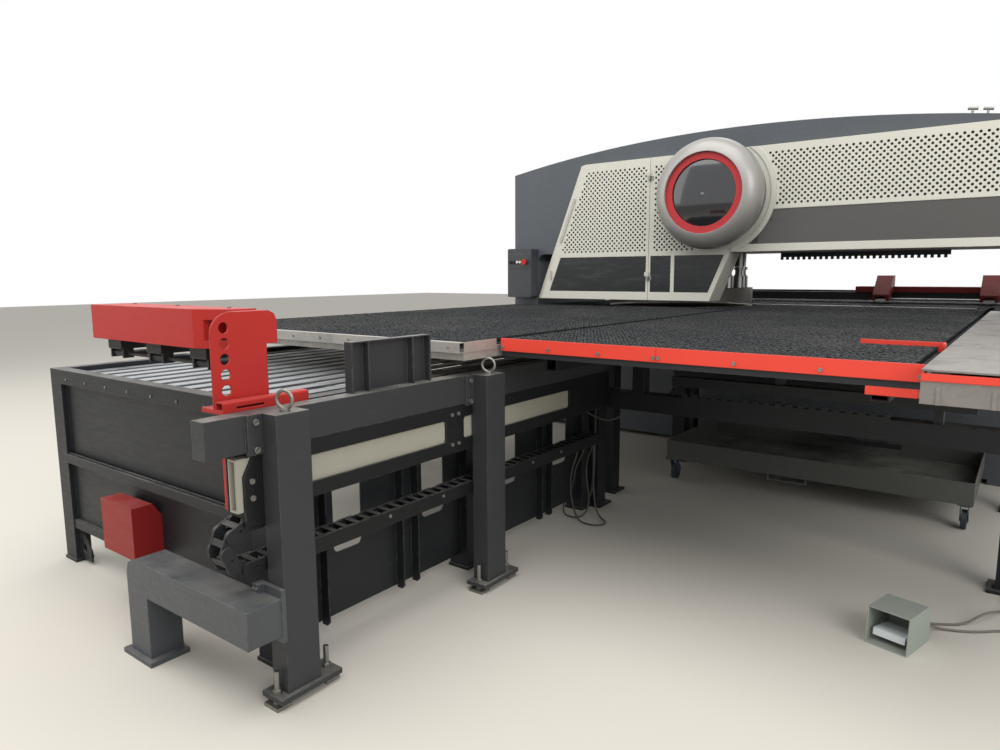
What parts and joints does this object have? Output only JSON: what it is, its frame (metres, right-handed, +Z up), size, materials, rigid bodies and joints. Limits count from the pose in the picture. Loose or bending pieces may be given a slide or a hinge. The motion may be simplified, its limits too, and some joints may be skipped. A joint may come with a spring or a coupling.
{
  "type": "cnc turret punch press",
  "caption": "Bridge-frame turret punch press with brush tables, take-out arm on a rail, stacking table, scrap cart and foot switch.",
  "frame": {"origin": "on the floor at the middle of the machine's outline", "axes": "+X to the right along the bridge, +Y from the operator's front side to the back, +Z up"},
  "size_m": [3.498, 6.6, 2.095],
  "materials": {
    "frame_paint": "satin charcoal paint",
    "cover_paint": "satin cream paint",
    "window_plastic": "dark tinted sheet",
    "drive_silver": "satin silver paint",
    "drive_red": "gloss red paint",
    "drive_black": "gloss",
    "turret_steel": "machined and oiled",
    "tool_steel": "ground",
    "switch_red": "satin",
    "switch_white": "satin",
    "switch_black": "satin",
    "deck_paint": "worn dark paint",
    "edge_aluminium": "scuffed",
    "wear_plate": "scuffed",
    "brush": "bristles",
    "skirt_red": "gloss red paint",
    "rail_paint": "worn charcoal paint",
    "bar_cream": "satin cream paint",
    "chain_plastic": "satin",
    "arm_red": "satin red paint",
    "jaw_black": "satin",
    "slat_steel": "scuffed",
    "clamp_red": "satin",
    "cart_paint": "worn grey-green paint",
    "fork_blue": "satin",
    "wheel_rubber": "dusty",
    "hood_paint": "worn grey-green paint",
    "pedal_blue": "ribbed",
    "cord_rubber": "dusty",
    "cable_sheath": "dusty",
    "bolt_steel": "zinc plated"
  },
  "bodies": {
    "machine": {"bridge_frame": "frame_paint", "middle_cover": "cover_paint", "right_cover": "cover_paint", "fixed_windows": "window_plastic", "drive_drum": "drive_black", "drive_bezel": "drive_silver", "drive_ring": "drive_red", "drive_lens": "drive_black", "control_box": "frame_paint", "centre_table": "deck_paint", "left_table": "edge_aluminium", "right_table": "wear_plate", "rear_table": "deck_paint", "brush_mats": "brush", "red_skirt": "skirt_red", "table_stand": "rail_paint", "rail_beam": "rail_paint", "rail_posts": "rail_paint", "guide_plate": "rail_paint", "guide_bar": "bar_cream", "knee_frame": "frame_paint", "cable_chain": "chain_plastic", "stacking_table": "rail_paint", "stack_bed": "slat_steel", "junction_box": "arm_red", "cart_tray": "cart_paint", "foot_hood": "hood_paint", "foot_cords": "cord_rubber", "cord_coils": "cord_rubber", "cord_plugs": "switch_black", "hanging_cable": "cable_sheath", "fasteners": "bolt_steel"},
    "upper_turret": {"upper_turret": "turret_steel", "punches": "tool_steel"},
    "active_punch": {"active_punch": "tool_steel"},
    "lower_turret": {"lower_turret": "turret_steel"},
    "ram": {"ram": "tool_steel"},
    "turret_door": {"turret_door": "cover_paint", "door_window": "window_plastic", "door_latch": "edge_aluminium"},
    "estop_knob": {"estop_knob": "switch_red"},
    "push_button_1": {"push_button_1": "switch_white"},
    "push_button_2": {"push_button_2": "switch_white"},
    "selector_1": {"selector_1": "switch_black"},
    "selector_2": {"selector_2": "switch_black"},
    "take_out_arm": {"arm_slide": "jaw_black", "take_out_arm": "arm_red"},
    "gripper_jaws": {"gripper_jaws": "jaw_black"},
    "cross_beam": {"cross_beam": "deck_paint"},
    "clamp_carriage": {"clamp_carriage": "clamp_red"},
    "clamp_jaws": {"clamp_jaws": "tool_steel"},
    "foot_pedal": {"foot_pedal": "pedal_blue"},
    "cart_fork_1": {"cart_fork_1": "fork_blue"},
    "cart_wheel_1": {"cart_wheel_1": "wheel_rubber"},
    "cart_fork_2": {"cart_fork_2": "fork_blue"},
    "cart_wheel_2": {"cart_wheel_2": "wheel_rubber"},
    "cart_fork_3": {"cart_fork_3": "fork_blue"},
    "cart_wheel_3": {"cart_wheel_3": "wheel_rubber"},
    "cart_fork_4": {"cart_fork_4": "fork_blue"},
    "cart_wheel_4": {"cart_wheel_4": "wheel_rubber"}
  },
  "joints": [
    {"name": "upper_turret_turn", "type": "hinge", "parent": "machine", "child": "upper_turret", "pos_m": [-0.58, 0.995, 1], "axis": [0, 0, 1], "continuous": true},
    {"name": "lower_turret_turn", "type": "hinge", "parent": "machine", "child": "lower_turret", "pos_m": [-0.58, 0.995, 0.9], "axis": [0, 0, 1], "continuous": true},
    {"name": "active_punch_slide", "type": "slide", "parent": "upper_turret", "child": "active_punch", "axis": [0, 0, 1], "range_m": [-0.037, 0]},
    {"name": "ram_slide", "type": "slide", "parent": "machine", "child": "ram", "axis": [0, 0, 1], "range_m": [-0.037, 0]},
    {"name": "door_hinge", "type": "hinge", "parent": "machine", "child": "turret_door", "pos_m": [-0.565, 0.385, 1.4], "axis": [0, 0, 1], "range_deg": [0, 100]},
    {"name": "estop_push", "type": "slide", "parent": "machine", "child": "estop_knob", "axis": [0, 1, 0], "range_m": [0, 0.006]},
    {"name": "push_button_1_push", "type": "slide", "parent": "machine", "child": "push_button_1", "axis": [0, 1, 0], "range_m": [0, 0.004], "stiffness_N_per_m": 800, "springref_m": -0.002},
    {"name": "push_button_2_push", "type": "slide", "parent": "machine", "child": "push_button_2", "axis": [0, 1, 0], "range_m": [0, 0.004], "stiffness_N_per_m": 800, "springref_m": -0.002},
    {"name": "selector_1_turn", "type": "hinge", "parent": "machine", "child": "selector_1", "pos_m": [-1.706, 0.342, 1.262], "axis": [0, 1, 0], "range_deg": [-45, 45]},
    {"name": "selector_2_turn", "type": "hinge", "parent": "machine", "child": "selector_2", "pos_m": [-1.672, 0.342, 1.262], "axis": [0, 1, 0], "range_deg": [-45, 45]},
    {"name": "take_out_slide", "type": "slide", "parent": "machine", "child": "take_out_arm", "axis": [0, 1, 0], "range_m": [0, 0.62]},
    {"name": "gripper_close", "type": "hinge", "parent": "take_out_arm", "child": "gripper_jaws", "pos_m": [-0.54, -3.11, 0.918], "axis": [1, 0, 0], "range_deg": [-40, 5]},
    {"name": "cross_beam_slide", "type": "slide", "parent": "machine", "child": "cross_beam", "axis": [0, 1, 0], "range_m": [-0.27, 1]},
    {"name": "clamp_carriage_slide", "type": "slide", "parent": "cross_beam", "child": "clamp_carriage", "axis": [1, 0, 0], "range_m": [-2, 0.17]},
    {"name": "work_clamp_close", "type": "hinge", "parent": "clamp_carriage", "child": "clamp_jaws", "pos_m": [1.015, 1.911, 0.969], "axis": [1, 0, 0], "range_deg": [-10, 5]},
    {"name": "foot_pedal_press", "type": "hinge", "parent": "machine", "child": "foot_pedal", "pos_m": [1.35484, -1.73512, 0.03], "axis": [0.9659, -0.2588, 0], "range_deg": [0, 9], "stiffness_Nm_per_rad": 20, "springref_deg": -17.19},
    {"name": "cart_fork_1_swivel", "type": "hinge", "parent": "machine", "child": "cart_fork_1", "pos_m": [0.034, -0.461, 0.12], "axis": [0, 0, 1], "continuous": true},
    {"name": "cart_wheel_1_roll", "type": "hinge", "parent": "cart_fork_1", "child": "cart_wheel_1", "pos_m": [0.034, -0.439, 0.045], "axis": [1, 0, 0], "continuous": true},
    {"name": "cart_fork_2_swivel", "type": "hinge", "parent": "machine", "child": "cart_fork_2", "pos_m": [1.433, -0.461, 0.12], "axis": [0, 0, 1], "continuous": true},
    {"name": "cart_wheel_2_roll", "type": "hinge", "parent": "cart_fork_2", "child": "cart_wheel_2", "pos_m": [1.433, -0.439, 0.045], "axis": [1, 0, 0], "continuous": true},
    {"name": "cart_fork_3_swivel", "type": "hinge", "parent": "machine", "child": "cart_fork_3", "pos_m": [0.034, 0.271, 0.12], "axis": [0, 0, 1], "continuous": true},
    {"name": "cart_wheel_3_roll", "type": "hinge", "parent": "cart_fork_3", "child": "cart_wheel_3", "pos_m": [0.034, 0.293, 0.045], "axis": [1, 0, 0], "continuous": true},
    {"name": "cart_fork_4_swivel", "type": "hinge", "parent": "machine", "child": "cart_fork_4", "pos_m": [1.433, 0.271, 0.12], "axis": [0, 0, 1], "continuous": true},
    {"name": "cart_wheel_4_roll", "type": "hinge", "parent": "cart_fork_4", "child": "cart_wheel_4", "pos_m": [1.433, 0.293, 0.045], "axis": [1, 0, 0], "continuous": true}
  ],
  "couplings": [
    {"joint": "lower_turret_turn", "follows": "upper_turret_turn", "ratio": 1},
    {"joint": "active_punch_slide", "follows": "ram_slide", "ratio": 1}
  ]
}
